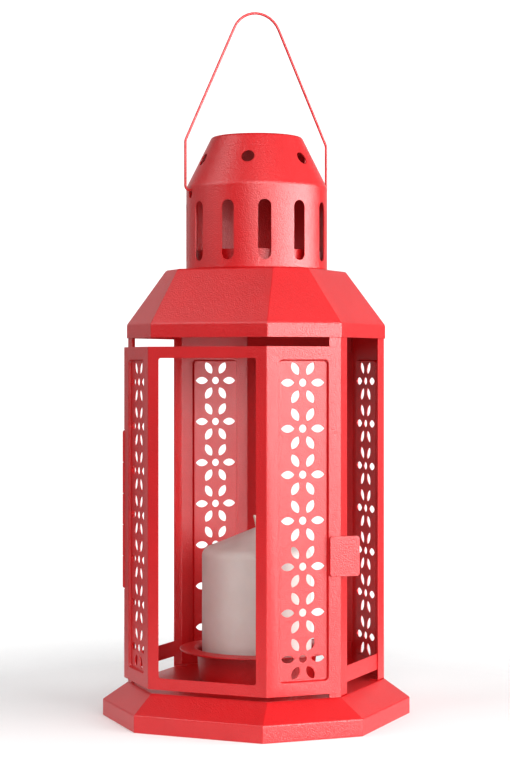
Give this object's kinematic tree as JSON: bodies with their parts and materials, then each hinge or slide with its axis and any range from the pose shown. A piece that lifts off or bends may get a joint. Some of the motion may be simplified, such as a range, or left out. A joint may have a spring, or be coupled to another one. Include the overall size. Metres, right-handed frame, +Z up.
{
  "type": "candle lantern",
  "caption": "Free-standing octagonal sheet-metal candle lantern with pierced flower panels, a hinged door, a slotted chimney, a wire bail and a pillar candle in a cup.",
  "frame": {"origin": "centre of the foot's underside, on the ground", "axes": "+Z up, -Y towards the door, +X to the right seen from the door"},
  "size_m": [0.1762, 0.1762, 0.4473],
  "materials": {
    "red_steel": "fine-textured satin powder coat",
    "candle_wax": "smooth waxy, slightly translucent",
    "candle_wick": "braided cotton, waxed"
  },
  "bodies": {
    "lantern": {"foot": "red_steel", "post_left": "red_steel", "post_right": "red_steel", "panel_rear_left": "red_steel", "panel_rear_right": "red_steel", "rail_left": "red_steel", "rail_right": "red_steel", "rail_rear": "red_steel", "rail_rear_top": "red_steel", "roof": "red_steel", "chimney": "red_steel", "candle_cup": "red_steel", "hinge_leaf_frame": "red_steel", "hinge_pin": "red_steel"},
    "door": {"door": "red_steel", "door_tab": "red_steel", "hinge_leaf_door": "red_steel"},
    "bail": {"bail": "red_steel"},
    "candle": {"candle_wax": "candle_wax", "candle_wick": "candle_wick"}
  },
  "joints": [
    {"name": "door_swing", "type": "hinge", "parent": "lantern", "child": "door", "pos_m": [-0.07463, -0.038, 0.1311], "axis": [0, 0, -1], "range_deg": [0, 180]},
    {"name": "bail_swing", "type": "hinge", "parent": "lantern", "child": "bail", "pos_m": [0, 0, 0.3324], "axis": [0.7071, 0.7071, 0], "range_deg": [-134, 134]},
    {"name": "candle_lift", "type": "slide", "parent": "lantern", "child": "candle", "axis": [0, 0, 1], "range_m": [0, 0.022]}
  ]
}
